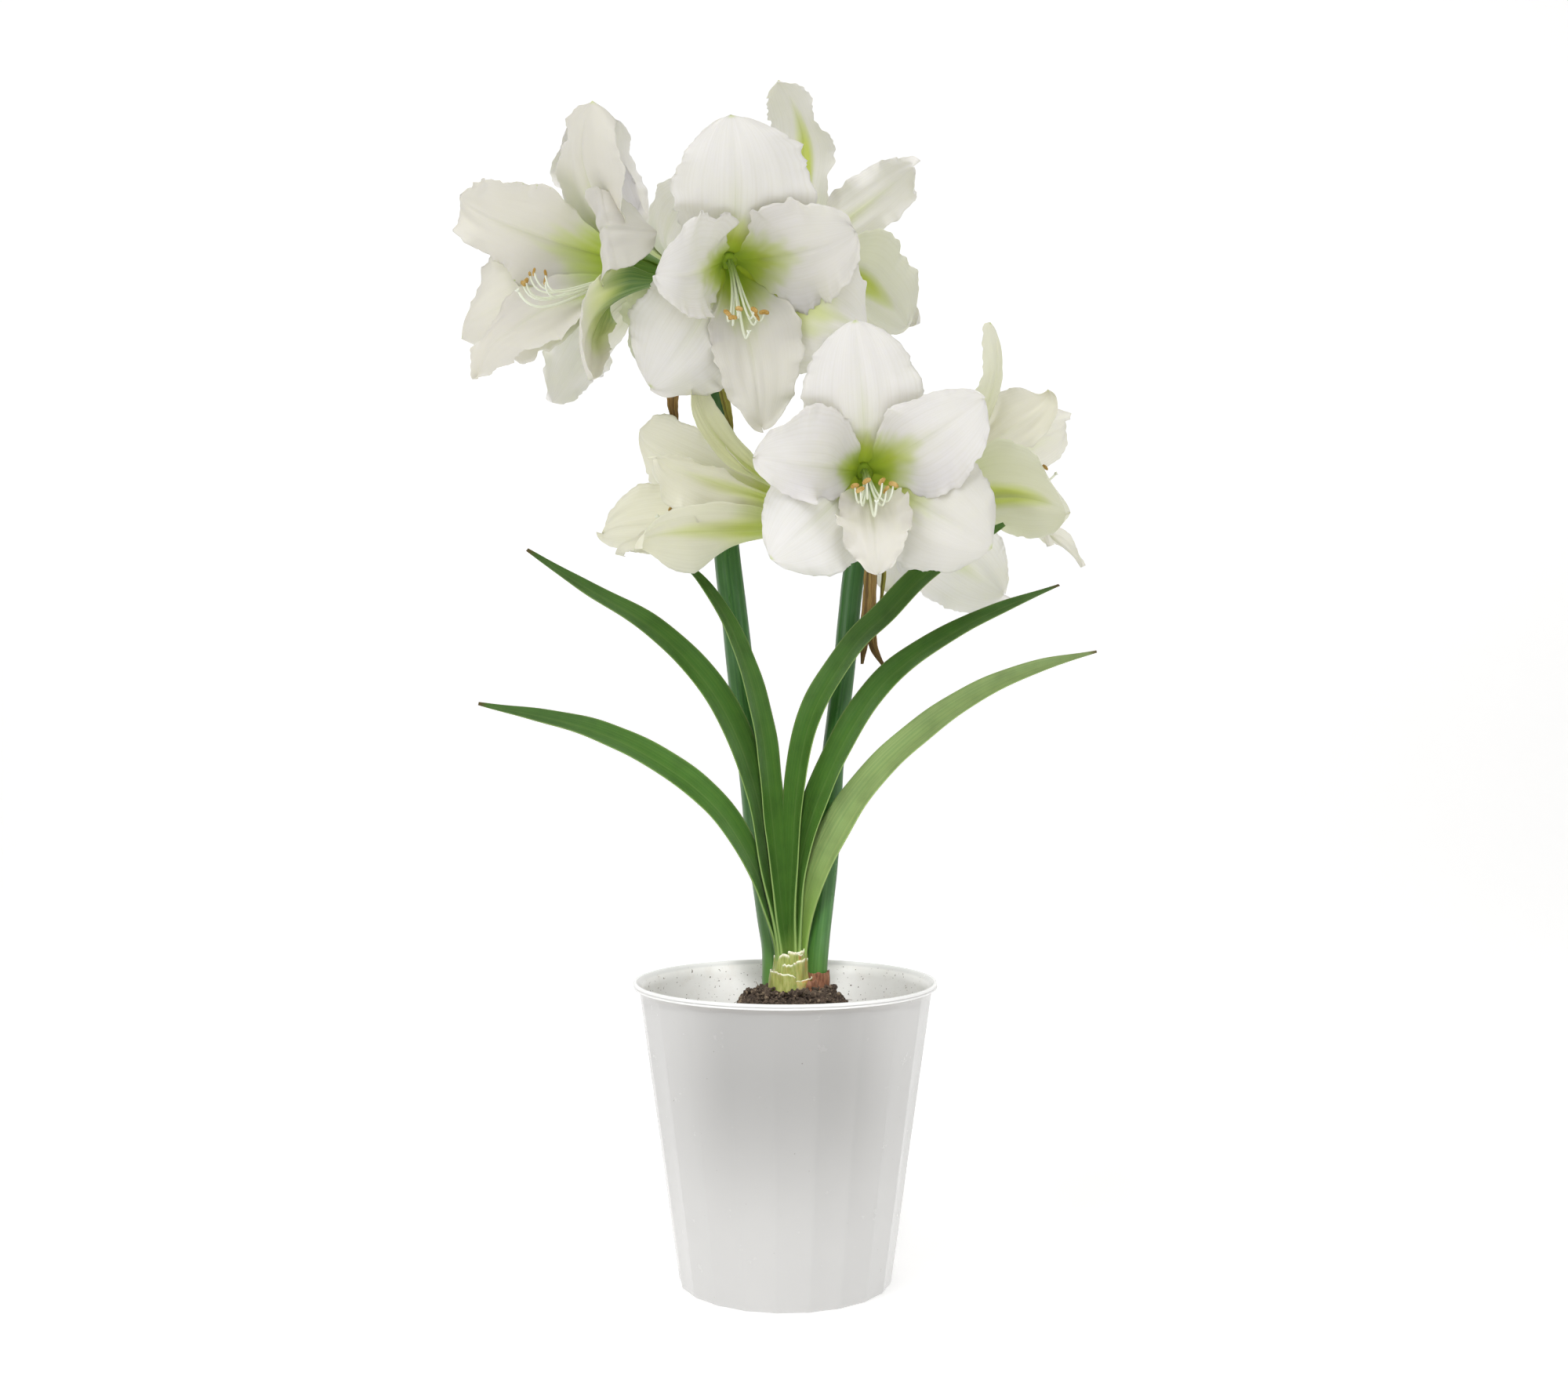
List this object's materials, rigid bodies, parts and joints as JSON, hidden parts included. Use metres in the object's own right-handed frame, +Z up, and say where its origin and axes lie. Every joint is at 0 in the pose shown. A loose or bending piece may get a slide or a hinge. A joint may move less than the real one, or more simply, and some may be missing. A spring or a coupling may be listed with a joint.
{
  "type": "potted amaryllis plant",
  "caption": "Flowering amaryllis with white, green-throated trumpet blooms on tall scapes, strap leaves and a bulb, growing in a fluted white pot of soil.",
  "frame": {"origin": "centre of the pot's base, on the surface that it stands on", "axes": "+Z up along the pot's axis; the side seen in the picture faces -Y, +X is to its right"},
  "size_m": [0.4078, 0.2573, 0.7745],
  "materials": {
    "pot": "gloss",
    "soil": "matte, crumbly potting soil",
    "bulb": "dry, papery tunic",
    "neck_scales": "dry to fleshy scales",
    "leaf": "smooth, satin green blade",
    "scape": "satin green stem with a waxy bloom",
    "spathe": "dry, papery bract",
    "tepal": "soft, matte petal",
    "stamen": "matte filament and pollen"
  },
  "bodies": {
    "root": {"pot": "pot", "soil": "soil", "bulb": "bulb", "neck_scales": "neck_scales", "leaf_left_low": "leaf", "leaf_left_mid": "leaf", "leaf_left_high": "leaf", "leaf_right_high": "leaf", "leaf_right_mid": "leaf", "leaf_right_low": "leaf", "scape_left": "scape", "scape_right": "scape", "spathe_upper_brown": "spathe", "spathe_upper_green": "spathe", "spathe_lower_brown": "spathe", "spathe_lower_thread": "spathe", "bloom_lower_front_tepals": "tepal", "bloom_lower_front_stamens": "stamen", "bloom_upper_front_tepals": "tepal", "bloom_upper_front_stamens": "stamen", "bloom_upper_left_tepals": "tepal", "bloom_upper_left_stamens": "stamen", "bloom_upper_right_tepals": "tepal", "bloom_upper_right_stamens": "stamen", "bloom_upper_back_tepals": "tepal", "bloom_upper_back_stamens": "stamen", "bloom_lower_left_tepals": "tepal", "bloom_lower_left_stamens": "stamen", "bloom_lower_right_tepals": "tepal", "bloom_lower_right_stamens": "stamen", "bloom_lower_back_tepals": "tepal", "bloom_lower_back_stamens": "stamen"}
  },
  "joints": []
}
